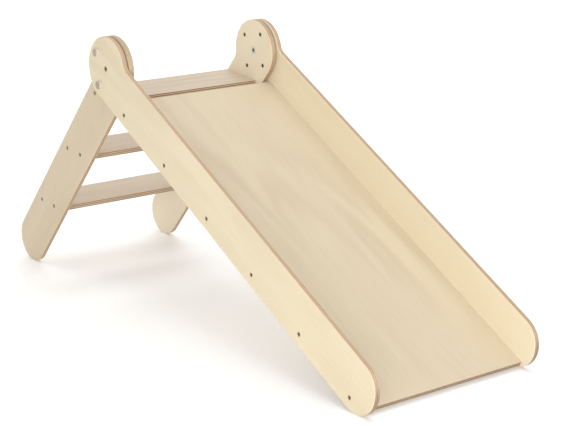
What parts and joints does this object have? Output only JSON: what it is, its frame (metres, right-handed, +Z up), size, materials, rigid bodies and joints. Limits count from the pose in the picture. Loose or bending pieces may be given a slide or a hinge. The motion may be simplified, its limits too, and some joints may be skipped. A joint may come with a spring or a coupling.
{
  "type": "toddler slide",
  "caption": "Folding plywood toddler slide: a board between two round-headed rails, with a climbing ladder of treads that turns on side hinges.",
  "frame": {"origin": "on the floor, under the middle of the whole slide at rest", "axes": "+X across the slide, +Y towards the ladder, +Z up; the slide's lower end points to -Y"},
  "size_m": [0.44, 1.3423, 0.5975],
  "materials": {
    "birch_ply": "clear satin lacquer, brown layered edges",
    "black_steel": "black oxide",
    "zinc_steel": "bright zinc",
    "cap_grey": "satin",
    "washer_nylon": "natural nylon"
  },
  "bodies": {
    "slide": {"left_board_screws": "black_steel", "left_cap_nuts": "cap_grey", "left_pivot_bolt": "black_steel", "left_pivot_sleeve": "zinc_steel", "left_rail": "birch_ply", "left_rail_plate": "zinc_steel", "left_rail_studs": "zinc_steel", "left_thrust_washer": "washer_nylon", "right_board_screws": "black_steel", "right_cap_nuts": "cap_grey", "right_pivot_bolt": "black_steel", "right_pivot_sleeve": "zinc_steel", "right_rail": "birch_ply", "right_rail_plate": "zinc_steel", "right_rail_studs": "zinc_steel", "right_thrust_washer": "washer_nylon", "slide_board": "birch_ply"},
    "ladder": {"left_leg": "birch_ply", "left_leg_plate": "zinc_steel", "left_lower_step_screws": "zinc_steel", "left_plate_screws": "black_steel", "left_platform_screws": "zinc_steel", "left_upper_step_screws": "zinc_steel", "lower_step": "birch_ply", "platform": "birch_ply", "right_leg": "birch_ply", "right_leg_plate": "zinc_steel", "right_lower_step_screws": "zinc_steel", "right_plate_screws": "black_steel", "right_platform_screws": "zinc_steel", "right_upper_step_screws": "zinc_steel", "upper_step": "birch_ply"}
  },
  "joints": [
    {"name": "ladder_fold", "type": "hinge", "parent": "slide", "child": "ladder", "pos_m": [0, 0.22791, 0.527], "axis": [1, 0, 0], "range_deg": [0, 257.4]}
  ]
}
